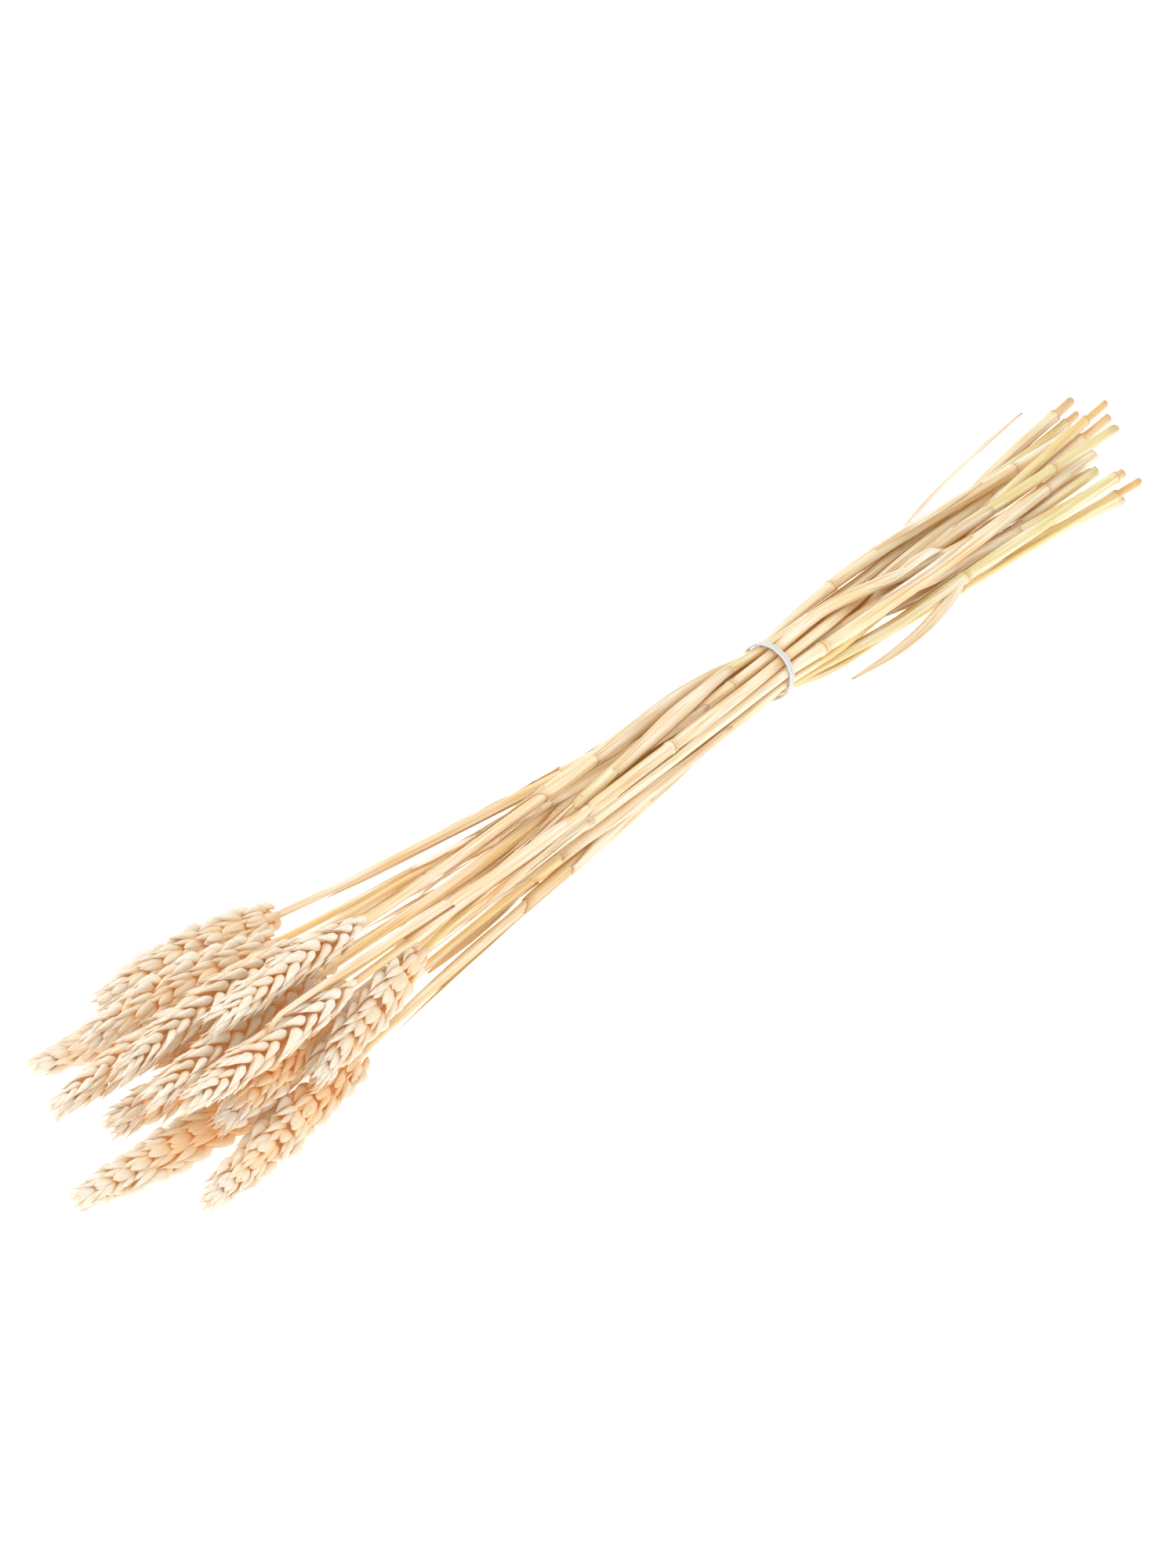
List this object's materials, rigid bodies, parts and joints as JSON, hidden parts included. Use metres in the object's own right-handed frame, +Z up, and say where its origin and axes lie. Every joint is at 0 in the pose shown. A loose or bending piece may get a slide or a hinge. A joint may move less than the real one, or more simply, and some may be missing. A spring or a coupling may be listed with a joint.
{
  "type": "bundle of dried wheat",
  "caption": "Bundle of dried awnless wheat stalks with their ears, lying down, gathered round the middle by a white elastic tie.",
  "frame": {"origin": "on the surface under the bundle, at the middle of its box's underside", "axes": "+X along the bundle towards the cut ends of the stems, the ears at -X; +Z up from the surface; +Y across the bundle"},
  "size_m": [0.6138, 0.0876, 0.0483],
  "materials": {
    "ears": "dry matt chaff, pale pinkish cream with warm brown between the scales",
    "cream_straw": "bleached cream straw with a satin skin and fine lengthwise grain",
    "golden_straw": "golden straw with a satin skin and fine lengthwise grain",
    "olive_straw": "pale olive straw with a satin skin and fine lengthwise grain",
    "tie": "white elastic, smooth, in two strands side by side"
  },
  "bodies": {
    "root": {"ear_01": "ears", "ear_02": "ears", "ear_03": "ears", "ear_04": "ears", "ear_05": "ears", "ear_06": "ears", "ear_07": "ears", "ear_08": "ears", "ear_09": "ears", "ear_10": "ears", "ear_11": "ears", "ear_12": "ears", "ear_13": "ears", "ear_14": "ears", "ear_15": "ears", "ear_16": "ears", "stem_01": "cream_straw", "stem_02": "golden_straw", "stem_03": "cream_straw", "stem_04": "olive_straw", "stem_05": "cream_straw", "stem_06": "golden_straw", "stem_07": "cream_straw", "stem_08": "olive_straw", "stem_09": "cream_straw", "stem_10": "golden_straw", "stem_11": "cream_straw", "stem_12": "olive_straw", "stem_13": "cream_straw", "stem_14": "golden_straw", "stem_15": "cream_straw", "stem_16": "olive_straw", "tie_band": "tie"}
  },
  "joints": []
}
